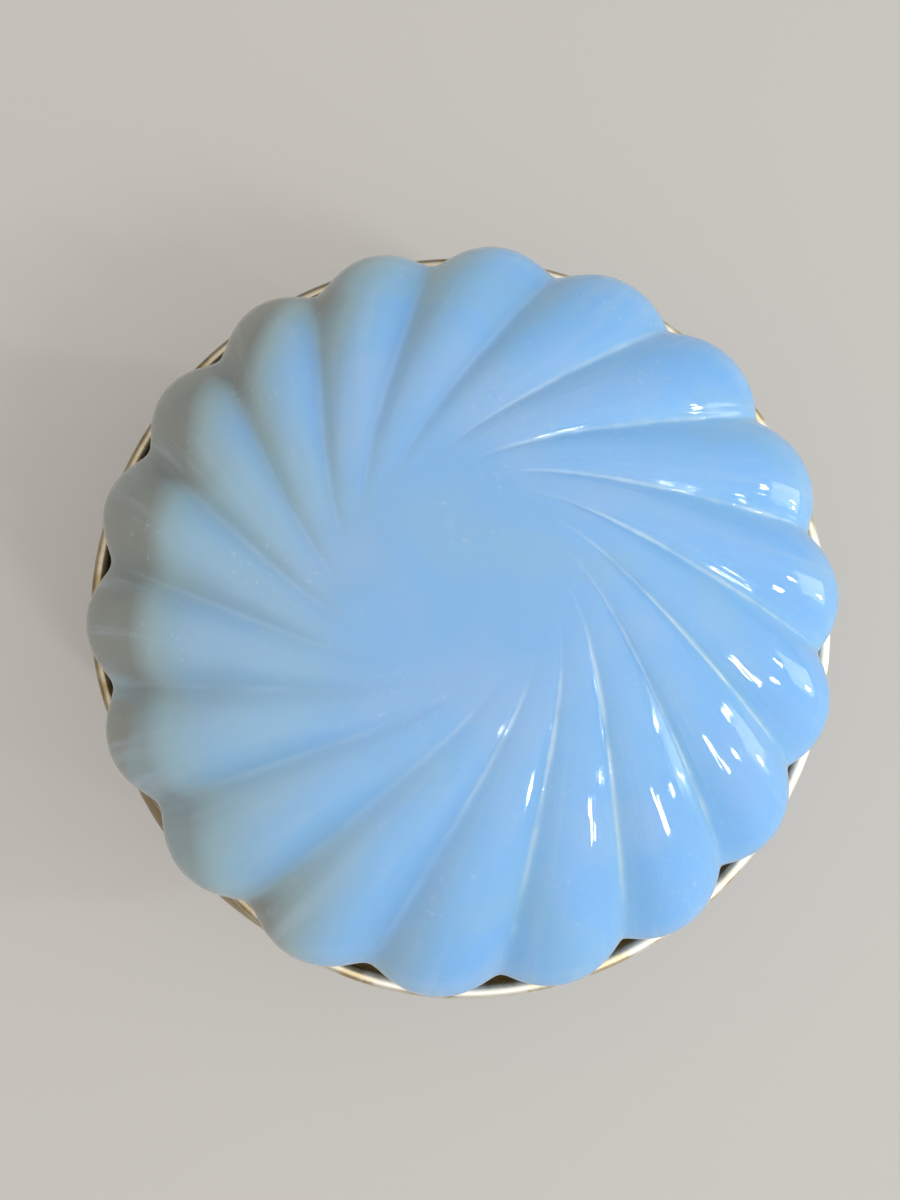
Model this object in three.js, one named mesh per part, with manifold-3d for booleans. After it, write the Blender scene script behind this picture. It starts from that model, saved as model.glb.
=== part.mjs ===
// Cosmetic cream jar: a swirl-fluted glass jar with a domed glass lid set in a gilt metal screw shell.
// Millimetres, +Z up. The origin is the centre of the base, on the surface that the jar stands on.
import * as THREE from 'three';
import { mergeVertices } from 'three/addons/utils/BufferGeometryUtils.js';
import Module from 'manifold-3d';

const wasm = await Module();
wasm.setup();
const { MathUtils, Vector2 } = THREE;

// Driving dimensions.
const gap = 0.3;                  // left between pieces that touch
const roundSegments = 60;         // facets round a plain turned piece
const domeStepsPerLobe = 6;
const jarStepsPerLobe = 4;

// Swirled lobes, shared by the jar and the dome.
const lobeCount = 18;
const lobePhase = 3.8;            // degrees from +X to the first crest, at the dome's widest level
const lobeDepth = 2.25;           // from the crest to the cusp between two lobes
const lobeRoundness = 1.6;        // arc radius of a lobe over half its width
const lobeDrift = 1.5;            // degrees that lobes stray from even spacing, twice round the piece
const lobeDriftAngle = 102;       // where they stray furthest anticlockwise, degrees from the first crest

// Jar.
const bellyRadius = 44.4;
const bellyHeight = 20;
const footRadius = 28;
const footWidth = 4;
const footRecess = 1.8;
const shoulderHeight = 35;
const neckRadius = 41.2;
const mouthRadius = 37;
const rimHeight = 45.5;
const wellFloor = 6;
const wellFloorRadius = 22;
const wellCorner = 15;            // height of the well's rounded corner
const bodyTwist = 26;             // degrees that the lobes turn from the base to the shoulder

// Screw thread: two starts, right-handed.
const threadStarts = 2;
const threadLead = 10;
const threadSweep = 150;          // degrees of each start
const threadBottom = 38.8;        // middle of the ridge where it starts on the neck
const threadHeight = 1.6;         // out of the neck, and into the cap
const threadRootWidth = 2.2;
const threadCrestWidth = 0.8;
const threadDrop = 1.6;           // the cap's thread lies this far under the neck's
const capThreadStart = 40;        // degrees further along the helix than the neck's
const threadStep = 10;            // degrees
const threadTaper = 20;           // degrees of run-out at each end
const threadEmbed = 0.4;          // sunk into the wall before they are joined

// Liner and screw cap.
const facingThickness = 0.3;
const boardThickness = 1;
const linerRadius = 42.8;
const capInnerRadius = 43.6;
const capOuterRadius = 46;
const capTopThickness = 1.2;
const capBottom = 36.9;

// Metal shell.
const sheet = 0.5;
const skirtRadius = 46.8;         // outside of the skirt
const skirtBottom = 36.2;
const hemRadius = 0.6;            // bead round the skirt's lower edge
const lipRadius = 47.2;           // outside of the rolled lip
const lipBead = 0.85;             // radius of the roll
const lipAbovePanel = 3;          // middle of the roll above the panel's top
const lipLean = 0.4;              // the lip's inside wall leans in by this much towards the panel

// Glass dome.
const crestRadius = 43.5;         // widest, over the lobes
const widestAboveLip = 9.5;       // from the middle of the lip's roll to the widest level
const domeRise = 12.7;            // from the widest level to the top
const domeSquareness = 2.3;       // exponent of the dome's superellipse
const domeFootRadius = 41.6;
const domeWall = 4.5;             // at the top
const hollowRadius = 38.3;        // of the hollow under the dome
const hollowDrop = 3.6;           // from the widest level down to where the hollow's sides turn straight
const swirlLean = 17.9;           // degrees that a lobe turns at half the radius
const swirlPower = 1.12;
const swirlEye = new Vector2(-1.1, 3.7);  // where the lobes meet: the swirl is off-centre
const smoothCentre = 0.26;        // share of the radius where the lobes have faded out
const lobeFade = 1.4;             // exponent of that fade
const domeTwistBelow = -3;        // degrees, at the dome's foot
const cementInner = 37;
const cementThickness = 1;

const labelRadius = 20;
const labelThickness = 0.3;

// Levels that follow from them.
const facingBottom = rimHeight + gap;
const boardBottom = facingBottom + facingThickness + gap;
const capTopUnderside = boardBottom + boardThickness + gap;
const panelUnderside = capTopUnderside + capTopThickness + gap;
const panelTop = panelUnderside + sheet;
const lipLevel = panelTop + lipAbovePanel;
const widestLevel = lipLevel + widestAboveLip;
const domeFoot = panelTop + gap + cementThickness + gap;

const plain = { depth: 0, twist: 0 };

// Points on an arc about (r, z), in degrees from the outward direction.
function arc(r, z, radius, from, to, steps) {
  const points = [];
  for (let i = 0; i <= steps; i++) {
    const angle = MathUtils.degToRad(from + (to - from) * i / steps);
    points.push(new Vector2(r + radius * Math.cos(angle), z + radius * Math.sin(angle)));
  }
  return points;
}

// Height of a lobe's circular arc at a turn about Z: 1 on its crest, 0 in the cusp.
function lobeArc(turn) {
  const across = 2 * (turn * lobeCount - Math.round(turn * lobeCount));
  const cusp = Math.sqrt(lobeRoundness ** 2 - 1);
  return (Math.sqrt(lobeRoundness ** 2 - across ** 2) - cusp) / (lobeRoundness - cusp);
}

// Merges shared vertices and drops the empty triangles on the axis.
function weld(geometry) {
  geometry.deleteAttribute('normal');
  geometry.deleteAttribute('uv');
  const merged = mergeVertices(geometry, 1e-4);
  const index = merged.index.array;
  const kept = [];
  for (let i = 0; i < index.length; i += 3) {
    const [a, b, c] = index.slice(i, i + 3);
    if (a !== b && b !== c && c !== a) kept.push(a, b, c);
  }
  merged.setIndex(kept);
  return merged;
}

// Turns an outline of (r, z) points about Z. It runs anticlockwise, from axis to axis or closed on itself.
function turned(outline, segments = roundSegments) {
  return weld(new THREE.LatheGeometry(outline, segments).rotateX(Math.PI / 2));
}

// Outward normal of an outline at a point, from its neighbours.
function outlineNormal(outline, i) {
  const before = outline[Math.max(i - 1, 0)];
  const after = outline[Math.min(i + 1, outline.length - 1)];
  return new Vector2(after.y - before.y, before.x - after.x).normalize();
}

// A turned outline whose wall sinks between the lobes. style(point) gives each point's depth, its twist
// and, on the dome, how much of the way it shifts with the eye of the swirl.
function fluted(outline, stepsPerLobe, style) {
  const segments = lobeCount * stepsPerLobe;
  const geometry = new THREE.LatheGeometry(outline, segments);
  const position = geometry.attributes.position;
  for (let i = 0; i < position.count; i++) {
    const row = i % outline.length;
    const turn = Math.floor(i / outline.length) / segments;
    const drift = lobeDrift * Math.cos(4 * Math.PI * turn - MathUtils.degToRad(2 * lobeDriftAngle));
    const point = outline[row];
    const { depth, twist, shift = 0 } = style(point);
    const sink = depth * (1 - lobeArc(turn));
    const normal = outlineNormal(outline, row);
    const r = point.x - sink * normal.x;
    const angle = 2 * Math.PI * turn + MathUtils.degToRad(lobePhase + drift + twist);
    const x = r * Math.cos(angle) + shift * swirlEye.x;
    const y = r * Math.sin(angle) + shift * swirlEye.y;
    position.setXYZ(i, x, y, point.y - sink * normal.y);
  }
  return weld(geometry);
}

// One start of a thread: a ridge from radius `root` to radius `crest` that climbs from `bottom`.
function threadRidge(root, crest, bottom, startAngle) {
  const steps = Math.round(threadSweep / threadStep);
  const position = [];
  for (let i = 0; i <= steps; i++) {
    const run = Math.min(i, steps - i) * threadStep;
    const full = Math.max(Math.min(run / threadTaper, 1), 0.02);
    const angle = MathUtils.degToRad(startAngle + i * threadStep);
    const z = bottom + threadLead * i * threadStep / 360;
    const sunk = root - Math.sign(crest - root) * threadEmbed;
    const tip = root + (crest - root) * full;
    for (const [r, width] of [[sunk, threadRootWidth], [root, threadRootWidth], [tip, threadCrestWidth]]) {
      position.push(r * Math.cos(angle), r * Math.sin(angle), z - width / 2);
      position.push(r * Math.cos(angle), r * Math.sin(angle), z + width / 2);
    }
  }
  const loop = [0, 2, 4, 5, 3, 1];
  const index = [];
  for (let i = 0; i < steps; i++) {
    for (let j = 0; j < loop.length; j++) {
      const a = 6 * i + loop[j];
      const b = 6 * i + loop[(j + 1) % loop.length];
      index.push(a, a + 6, b, b, a + 6, b + 6);
    }
  }
  const last = 6 * steps;
  for (let j = 1; j < loop.length - 1; j++) {
    index.push(loop[0], loop[j], loop[j + 1]);
    index.push(last + loop[0], last + loop[j + 1], last + loop[j]);
  }
  if (crest < root) index.reverse();
  const geometry = new THREE.BufferGeometry();
  geometry.setAttribute('position', new THREE.Float32BufferAttribute(position, 3));
  geometry.setIndex(index);
  return geometry;
}

function toSolid(geometry) {
  const mesh = new wasm.Mesh({
    numProp: 3,
    vertProperties: new Float32Array(geometry.attributes.position.array),
    triVerts: new Uint32Array(geometry.index.array),
  });
  return new wasm.Manifold(mesh);
}

function toGeometry(solid) {
  const mesh = solid.getMesh();
  const geometry = new THREE.BufferGeometry();
  geometry.setAttribute('position', new THREE.BufferAttribute(mesh.vertProperties, 3));
  geometry.setIndex(new THREE.BufferAttribute(mesh.triVerts, 1));
  return geometry;
}

// Joins every start of a thread to the wall that carries it. The helix is at `level` over angle 0.
function withThread(geometry, root, crest, level, firstAngle) {
  let solid = toSolid(geometry);
  const bottom = level + threadLead * firstAngle / 360;
  for (let start = 0; start < threadStarts; start++) {
    const ridge = threadRidge(root, crest, bottom, firstAngle + 360 * start / threadStarts);
    solid = solid.add(toSolid(ridge));
  }
  return toGeometry(solid);
}

// Bowl on a foot ring, fluted outside, with a smooth well and a threaded neck.
function jarBody() {
  const bulge = bellyRadius - footRadius;
  const lower = new THREE.CubicBezierCurve(
    new Vector2(footRadius, 0.6),
    new Vector2(footRadius + 0.55 * bulge, 1),
    new Vector2(bellyRadius, 0.45 * bellyHeight),
    new Vector2(bellyRadius, bellyHeight));
  const upper = new THREE.CubicBezierCurve(
    new Vector2(bellyRadius, bellyHeight),
    new Vector2(bellyRadius, 0.8 * shoulderHeight),
    new Vector2(neckRadius + 2.6, shoulderHeight - 0.6),
    new Vector2(neckRadius, shoulderHeight));
  const lip = 1.4;
  const wallCorner = mouthRadius - wellFloorRadius;
  const cornerSteps = 4;
  const corner = [];
  for (let i = 0; i <= cornerSteps; i++) {
    const angle = Math.PI / 2 * i / cornerSteps;
    corner.push(new Vector2(wellFloorRadius + wallCorner * Math.cos(angle),
                            wellFloor + wellCorner * (1 - Math.sin(angle))));
  }
  const outside = [...lower.getPoints(6), ...upper.getPoints(5).slice(1)];
  const outline = [
    new Vector2(0, footRecess),
    new Vector2(footRadius - footWidth, footRecess),
    new Vector2(footRadius - footWidth, 0),
    new Vector2(footRadius - 0.5, 0),
    ...outside,
    ...arc(neckRadius - lip, rimHeight - lip, lip, 0, 90, 1),
    ...arc(mouthRadius + lip, rimHeight - lip, lip, 90, 180, 1),
    ...corner,
    new Vector2(0, wellFloor),
  ];
  const bowl = fluted(outline, jarStepsPerLobe, (point) => {
    if (!outside.includes(point)) return plain;
    const low = MathUtils.smoothstep(point.y, 1, 9);
    const high = 1 - MathUtils.smoothstep(point.y, shoulderHeight - 5, shoulderHeight);
    return {
      depth: lobeDepth * low * high,
      twist: bodyTwist * (point.y / shoulderHeight - 1),
    };
  });
  return withThread(bowl, neckRadius, neckRadius + threadHeight, threadBottom, 0);
}

// Cup over the neck, with the thread inside.
function innerCap() {
  const outline = [
    new Vector2(0, capTopUnderside),
    new Vector2(capInnerRadius, capTopUnderside),
    new Vector2(capInnerRadius, capBottom),
    new Vector2(capOuterRadius, capBottom),
    new Vector2(capOuterRadius, capTopUnderside + capTopThickness),
    new Vector2(0, capTopUnderside + capTopThickness),
  ];
  const tip = capInnerRadius - threadHeight;
  return withThread(turned(outline), capInnerRadius, tip, threadBottom - threadDrop, capThreadStart);
}

// Drawn sheet: skirt with a hem, rolled lip and recessed panel.
function lidShell() {
  const rollCentre = lipRadius - lipBead;
  const rollInside = rollCentre - lipBead;
  const rollStart = lipLevel - lipBead;
  const hemCentre = skirtBottom + hemRadius;
  const outline = [
    new Vector2(0, panelUnderside),
    new Vector2(rollInside + sheet - lipLean, panelUnderside),
    ...arc(rollCentre, lipLevel, lipBead - sheet, 180, 0, 3),
    new Vector2(skirtRadius - sheet, rollStart),
    new Vector2(skirtRadius - sheet, skirtBottom),
    ...arc(skirtRadius - sheet / 2, hemCentre, hemRadius, -90, 60, 3),
    new Vector2(skirtRadius, rollStart),
    ...arc(rollCentre, lipLevel, lipBead, 0, 180, 5),
    new Vector2(rollInside - lipLean, panelTop),
    new Vector2(0, panelTop),
  ];
  return turned(outline);
}

// Thick glass top: 18 lobes swirl in from the rim and fade out round a smooth centre.
function lidDome() {
  const top = (share) => (1 - share ** domeSquareness) ** (1 / domeSquareness);
  const tuck = widestLevel - domeFoot;
  const hollowRise = domeRise - domeWall + hollowDrop;
  const inside = [0, 0.5, 0.8, 0.95, 1].map((share) => new Vector2(
    share * hollowRadius, widestLevel - hollowDrop + hollowRise * top(share)));
  inside.push(new Vector2(hollowRadius - 0.6, domeFoot));
  const below = [0, 1 / 3, 2 / 3, 1].map((share) => new Vector2(
    MathUtils.lerp(domeFootRadius, crestRadius, Math.sin(Math.PI / 2 * share)), domeFoot + tuck * share));
  const above = [0.98, 0.92, 0.82, 0.68, 0.52, 0.38, smoothCentre, 0].map((share) => new Vector2(
    share * crestRadius, widestLevel + domeRise * top(share)));
  return fluted([...inside, ...below, ...above], domeStepsPerLobe, (point) => {
    if (inside.includes(point)) return plain;
    if (below.includes(point)) {
      const depthShare = (widestLevel - point.y) / tuck;
      return { depth: lobeDepth * (1 - 0.3 * depthShare), twist: domeTwistBelow * depthShare };
    }
    const share = Math.max(point.x / crestRadius, smoothCentre);
    const fade = (share - smoothCentre) / (1 - smoothCentre);
    return {
      depth: lobeDepth * fade ** lobeFade,
      twist: swirlLean * (1 / share - 1) ** swirlPower,
      shift: 1 - point.x / crestRadius,
    };
  });
}

// Flat disc or ring between two levels.
function disc(radius, bottom, thickness, hole = 0) {
  const outline = [
    new Vector2(hole, bottom),
    new Vector2(radius, bottom),
    new Vector2(radius, bottom + thickness),
    new Vector2(hole, bottom + thickness),
  ];
  if (hole > 0) outline.push(outline[0].clone());
  return turned(outline);
}

const opalGlass = { color: 0x86b4e0, roughness: 0.08, metalness: 0 };
const labelPaper = { color: 0xd9c9a0, roughness: 0.85, metalness: 0 };
const linerVinyl = { color: 0xf4f1e8, roughness: 0.3, metalness: 0 };
const pulpboard = { color: 0xb9a98a, roughness: 0.9, metalness: 0 };
const capPlastic = { color: 0xece8de, roughness: 0.4, metalness: 0 };
const gilt = { color: 0xc9a35a, roughness: 0.28, metalness: 1 };
const cement = { color: 0x2b241c, roughness: 0.9, metalness: 0 };

const pieces = [
  ['jar_body', jarBody(), opalGlass],
  ['base_label', disc(labelRadius, footRecess - gap - labelThickness, labelThickness), labelPaper],
  ['liner_facing', disc(linerRadius, facingBottom, facingThickness), linerVinyl],
  ['liner_board', disc(linerRadius, boardBottom, boardThickness), pulpboard],
  ['inner_cap', innerCap(), capPlastic],
  ['lid_shell', lidShell(), gilt],
  ['lid_cement', disc(domeFootRadius + 1, panelTop + gap, cementThickness, cementInner), cement],
  ['lid_dome', lidDome(), opalGlass],
];

const group = new THREE.Group();
for (const [name, geometry, finish] of pieces) {
  const mesh = new THREE.Mesh(geometry, new THREE.MeshStandardMaterial(finish));
  geometry.computeVertexNormals();
  mesh.name = name;
  group.add(mesh);
}

export default group;
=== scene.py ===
"""Looks of the swirl-fluted cream jar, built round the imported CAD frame. Metres, +Z up."""
import math

import bpy
import numpy as np
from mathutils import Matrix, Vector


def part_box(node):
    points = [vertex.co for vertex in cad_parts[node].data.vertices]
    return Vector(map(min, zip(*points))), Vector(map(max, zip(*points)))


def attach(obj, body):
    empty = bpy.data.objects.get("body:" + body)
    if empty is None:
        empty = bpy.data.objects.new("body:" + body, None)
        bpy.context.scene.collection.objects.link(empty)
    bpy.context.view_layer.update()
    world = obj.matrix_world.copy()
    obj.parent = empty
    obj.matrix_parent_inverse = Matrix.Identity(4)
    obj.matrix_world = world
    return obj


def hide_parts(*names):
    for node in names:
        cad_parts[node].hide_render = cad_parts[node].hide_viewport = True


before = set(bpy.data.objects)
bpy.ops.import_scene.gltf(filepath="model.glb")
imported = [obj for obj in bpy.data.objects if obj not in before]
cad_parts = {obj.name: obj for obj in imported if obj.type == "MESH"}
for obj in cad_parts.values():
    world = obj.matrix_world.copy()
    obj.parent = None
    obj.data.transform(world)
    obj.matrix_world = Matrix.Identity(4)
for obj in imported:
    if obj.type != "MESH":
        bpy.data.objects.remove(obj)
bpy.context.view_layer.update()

MM = 0.001


def level(node, top):
    """Lowest or highest level of a CAD node, in millimetres."""
    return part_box(node)[1 if top else 0].z / MM


# Millimetres and radians. Lobes, as on the CAD solids.
LOBES = 18
LOBE_PHASE = math.radians(3.8)
LOBE_DEPTH = 2.25            # from the crest to the cusp between two lobes
LOBE_ROUNDNESS = 1.6         # arc radius of a lobe over half its width
LOBE_DRIFT = math.radians(1.5)    # how far lobes stray from even spacing, twice round the piece
LOBE_DRIFT_ANGLE = math.radians(102)

# Lobes, where this finer surface goes beyond the CAD solids.
GROOVE_ROUND = 0.6           # half width of the rounded bottom of a groove, where it is crisp
GROOVE_WORN = 2.6            # times as wide where it is worn
CRISP_SIDE = math.radians(-12)    # the side where grooves are crisp; they are worn on the other
FLAT_POWER = 3.0             # exponent of a lobe's section near the middle of the dome
CREASE_DEPTH = 0.20          # of the narrow crease along the bottom of a groove of the dome
CREASE_WIDTH = 0.36          # half its width
GROOVE_BAND = 1.5           # half width of the band along a groove that is painted lighter blue, as painted light, and more rippled
OPAL_LIT_SIDE = (0.98, -0.17, 0)    # painted light: glass that faces this way, towards the light, is painted bluest; glass turned away is painted warm grey, as shade
LOBE_LIGHT_SHARE = 0.62             # how far the painted light and shade follow the lobes, and not just the whole shape
STEPS_PER_LOBE = 36
ROUND_STEPS = 288

# Dome.
CREST_RADIUS = 43.5
DOME_RISE = 12.7
DOME_TOP = level("lid_dome", True)
DOME_FOOT = level("lid_dome", False)
WIDEST = DOME_TOP - DOME_RISE
SQUARENESS = 2.3
SMOOTH_CENTRE = 0.26         # share of the radius where the lobes have faded out
LOBE_FADE = 1.4
SWIRL_LEAN = math.radians(17.9)
SWIRL_POWER = 1.12
SWIRL_EYE = (-1.1, 3.7)      # where the lobes meet: the swirl is off-centre
DOME_FOOT_RADIUS = 41.6
DOME_TWIST_BELOW = math.radians(-3)
HOLLOW_RADIUS = 38.3
HOLLOW_DROP = 3.6
DOME_WALL = 4.5

# Jar.
BELLY_RADIUS = 44.4
BELLY_HEIGHT = 20.0
FOOT_RADIUS = 28.0
FOOT_WIDTH = 4.0
FOOT_RECESS = 1.8
SHOULDER = 35.0
NECK_RADIUS = 41.2
MOUTH_RADIUS = 37.0
RIM = level("jar_body", True)
WELL_FLOOR = 6.0
WELL_FLOOR_RADIUS = 22.0
WELL_CORNER = 15.0
BODY_TWIST = math.radians(26)

# Thread.
THREAD_STARTS = 2
THREAD_LEAD = 10.0
THREAD_SWEEP = 150.0
THREAD_LEVEL = 38.8          # middle of the neck's ridge over angle 0
THREAD_HEIGHT = 1.6
THREAD_ROOT = 1.1            # half widths of the ridge
THREAD_CREST = 0.4
THREAD_DROP = 1.6            # from the neck's ridge down to the cap's
CAP_THREAD_START = 40.0      # degrees further along the helix than the neck's
THREAD_TAPER = 20.0

# Lid shell and inner cap.
CAP_INNER = 43.6
CAP_OUTER = 46.0
CAP_TOP = level("inner_cap", True)
CAP_BOTTOM = level("inner_cap", False)
CAP_THICKNESS = 1.2
SHEET = 0.5
SKIRT_RADIUS = 46.8
SKIRT_BOTTOM = level("lid_shell", False)
HEM_RADIUS = 0.6
LIP_RADIUS = 47.2
LIP_BEAD = 0.85
LIP_LEAN = 0.4
LIP_LEVEL = level("lid_shell", True) - LIP_BEAD
LIP_ABOVE_PANEL = 3.0
PANEL_TOP = LIP_LEVEL - LIP_ABOVE_PANEL
LIP_KNOCK = 2.5              # how far the lip is bent in where it has been knocked
LIP_KNOCK_ANGLE = math.radians(219)
GILT_LIT_SIDE = math.radians(-20)     # the side of the gilt that is painted lit; the other side is painted dark, as painted shade

# Liner, cement and label.
LINER_RADIUS = 42.8
CEMENT_INNER = 37.0
LABEL_RADIUS = 20.0


# ---------------------------------------------------------------- camera, stage and light

def add_camera():
    """A phone held 105 mm above the widest level of the glass, tipped by 5 degrees."""
    data = bpy.data.cameras.new("camera")
    data.lens = 27
    data.sensor_width = 36
    data.clip_start = 0.005
    camera = bpy.data.objects.new("camera", data)
    camera.location = (-4.0 * MM, -8.0 * MM, (WIDEST + 104.9) * MM)
    camera.rotation_euler = (math.radians(5.0), math.radians(-1.2), 0)
    bpy.context.collection.objects.link(camera)
    bpy.context.scene.camera = camera


def add_floor():
    look = Look("pale_floor")
    look.finish({"Base Color": (0.52, 0.50, 0.47), "Roughness": 0.8})
    corners = [(-3000, -3000, 0), (3000, -3000, 0), (3000, 3000, 0), (-3000, 3000, 0)]
    mesh_piece("floor", corners, [(0, 1, 2, 3)], look.material)


def direction(azimuth, elevation):
    """Unit vector at angles in degrees; azimuth is from +X."""
    a, e = math.radians(azimuth), math.radians(elevation)
    return (math.cos(a) * math.cos(e), math.sin(a) * math.cos(e), math.sin(e))


def add_area(name, azimuth, elevation, distance, size, radiance):
    """A rectangular lamp that faces the lid. It shows in reflections but not to the camera."""
    data = bpy.data.lights.new(name, "AREA")
    data.shape = "RECTANGLE"
    data.size, data.size_y = size
    data.energy = radiance * math.pi * size[0] * size[1]
    data.color = (0.95, 0.98, 1.0)
    light = bpy.data.objects.new(name, data)
    light.location = np.array(direction(azimuth, elevation)) * distance + np.array([0, 0, WIDEST * MM])
    light.rotation_euler = (math.radians(90 - elevation), 0, math.radians(azimuth + 90))
    light.visible_camera = False
    bpy.context.collection.objects.link(light)


def add_glow(tree, colour, strength, azimuth, elevation, width):
    """Adds to the world's light a soft round glow, `width` degrees from its middle to its edge."""
    nodes, links = tree.nodes, tree.links
    coordinates = nodes.new("ShaderNodeTexCoord")
    facing = nodes.new("ShaderNodeVectorMath")
    facing.operation = "DOT_PRODUCT"
    facing.inputs[1].default_value = direction(azimuth, elevation)
    fall = nodes.new("ShaderNodeMapRange")
    fall.interpolation_type = "SMOOTHSTEP"
    fall.inputs["From Min"].default_value = math.cos(math.radians(width))
    fall.inputs["To Max"].default_value = strength
    glow = nodes.new("ShaderNodeBackground")
    glow.inputs["Color"].default_value = (*colour, 1)
    total = nodes.new("ShaderNodeAddShader")
    output = nodes["World Output"].inputs["Surface"]
    before = output.links[0].from_socket
    links.new(coordinates.outputs["Generated"], facing.inputs[0])
    links.new(facing.outputs["Value"], fall.inputs["Value"])
    links.new(fall.outputs["Result"], glow.inputs["Strength"])
    links.new(before, total.inputs[0])
    links.new(glow.outputs["Background"], total.inputs[1])
    links.new(total.outputs["Shader"], output)


def add_lights():
    """A pale room, brighter above and to the right, warm and dim on the left, with a window on the
    right: a broad dim view and four narrow bright gaps."""
    world = bpy.data.worlds.new("world")
    world.use_nodes = True
    world.node_tree.nodes["Background"].inputs["Color"].default_value = (1.0, 0.98, 0.96, 1)
    world.node_tree.nodes["Background"].inputs["Strength"].default_value = 0.25
    add_glow(world.node_tree, (1.0, 0.98, 0.95), 1.0, 0, 89, 62)
    add_glow(world.node_tree, (0.92, 0.96, 1.0), 0.62, -20, 38, 62)
    add_glow(world.node_tree, (1.0, 0.84, 0.64), 0.25, 190, 20, 60)
    bpy.context.scene.world = world
    bpy.context.scene.view_settings.view_transform = "Standard"
    add_area("window_sky", -2, 29, 1.2, (0.05, 0.09), 95.0)
    add_area("window_high", -42, 47, 1.2, (0.04, 0.26), 65.0)
    add_area("window_view", -2, 13, 1.2, (0.36, 0.50), 2.8)
    add_area("window_low", -6, 9, 1.2, (0.03, 0.12), 50.0)
    add_area("window_side", -22, 36, 1.2, (0.03, 0.09), 70.0)


# ---------------------------------------------------------------- materials

class Look:
    """One node material. Each method adds a node and returns its output; sizes are millimetres."""

    def __init__(self, name):
        self.material = bpy.data.materials.new(name)
        self.material.use_nodes = True
        self.nodes = self.material.node_tree.nodes
        self.shader = self.nodes["Principled BSDF"]

    def feed(self, socket, value):
        """Links an output to a socket, or sets its number or colour."""
        if isinstance(value, bpy.types.NodeSocket):
            self.material.node_tree.links.new(value, socket)
        elif socket.type == "RGBA":
            socket.default_value = (*value, 1)
        else:
            socket.default_value = value

    def finish(self, inputs):
        for name, value in inputs.items():
            self.feed(self.shader.inputs[name], value)
        return self.material

    def attribute(self, name):
        node = self.nodes.new("ShaderNodeAttribute")
        node.attribute_name = name
        return node.outputs["Fac"]

    def place(self, size, flow=False):
        """Coordinates in units of `size`: of the object, or along the piece's own flow lines."""
        scale = self.nodes.new("ShaderNodeVectorMath")
        scale.operation = "SCALE"
        if flow:
            source = self.nodes.new("ShaderNodeAttribute")
            source.attribute_name = "flow"
            self.feed(scale.inputs[0], source.outputs["Vector"])
            scale.inputs["Scale"].default_value = 1 / size
        else:
            source = self.nodes.new("ShaderNodeTexCoord")
            self.feed(scale.inputs[0], source.outputs["Object"])
            scale.inputs["Scale"].default_value = 1 / (size * MM)
        return scale.outputs["Vector"]

    def noise(self, size, detail=2, rough=0.5, flow=False):
        node = self.nodes.new("ShaderNodeTexNoise")
        self.feed(node.inputs["Vector"], self.place(size, flow))
        node.inputs["Scale"].default_value = 1
        node.inputs["Detail"].default_value = detail
        node.inputs["Roughness"].default_value = rough
        return node.outputs["Fac"]

    def specks(self, spacing, radius, share):
        """1 inside small round specks that a share of the cells hold, 0 elsewhere."""
        node = self.nodes.new("ShaderNodeTexVoronoi")
        self.feed(node.inputs["Vector"], self.place(spacing))
        node.inputs["Scale"].default_value = 1
        chosen = self.nodes.new("ShaderNodeSeparateColor")
        self.feed(chosen.inputs["Color"], node.outputs["Color"])
        near = self.remap(node.outputs["Distance"], radius / spacing, 0.5 * radius / spacing, 0, 1)
        picked = self.maths("LESS_THAN", chosen.outputs["Red"], share)
        return self.maths("MULTIPLY", near, picked)

    def maths(self, operation, a, b=0.0):
        node = self.nodes.new("ShaderNodeMath")
        node.operation = operation
        self.feed(node.inputs[0], a)
        self.feed(node.inputs[1], b)
        return node.outputs["Value"]

    def remap(self, value, low, high, to_low, to_high):
        node = self.nodes.new("ShaderNodeMapRange")
        node.interpolation_type = "SMOOTHSTEP"
        ends = {"From Min": low, "From Max": high, "To Min": to_low, "To Max": to_high}
        for key, number in ends.items():
            node.inputs[key].default_value = number
        self.feed(node.inputs["Value"], value)
        return node.outputs["Result"]

    def mix(self, share, a, b):
        node = self.nodes.new("ShaderNodeMix")
        node.data_type = "RGBA"
        self.feed(node.inputs["Factor"], share)
        # Its sockets for numbers, vectors and colours share names: colours are 6 and 7 in, 2 out.
        self.feed(node.inputs[6], a)
        self.feed(node.inputs[7], b)
        return node.outputs[2]

    def ramp(self, value, stops):
        """Colour looked up from (value, colour) stops, which go from the lowest value to the highest."""
        node = self.nodes.new("ShaderNodeValToRGB")
        low, high = stops[0][0], stops[-1][0]
        while len(node.color_ramp.elements) < len(stops):
            node.color_ramp.elements.new(0.5)
        for element, (at, colour) in zip(node.color_ramp.elements, stops):
            element.position = (at - low) / (high - low)
            element.color = (*colour, 1)
        scaled = self.maths("DIVIDE", self.maths("SUBTRACT", value, low), high - low)
        self.feed(node.inputs["Fac"], scaled)
        return node.outputs["Color"]

    def bump(self, height, depth, normal=None):
        """Normals of a surface raised by `depth` where height is 1."""
        node = self.nodes.new("ShaderNodeBump")
        node.inputs["Distance"].default_value = depth * MM
        self.feed(node.inputs["Height"], height)
        if normal:
            self.feed(node.inputs["Normal"], normal)
        return node.outputs["Normal"]


# Painted light and shade: colours of opal glass by how far it faces the light on the right, from warm
# grey where it is turned away (painted shade), through milky, to blue where it faces the light (painted
# light).
OPAL_BY_LIGHT_FACING = [
    (-0.78, (0.235, 0.258, 0.245)),
    (-0.52, (0.305, 0.42, 0.465)),
    (-0.22, (0.265, 0.46, 0.67)),
    (-0.03, (0.234, 0.465, 0.765)),
    (0.35, (0.202, 0.445, 0.80)),
]


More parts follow.
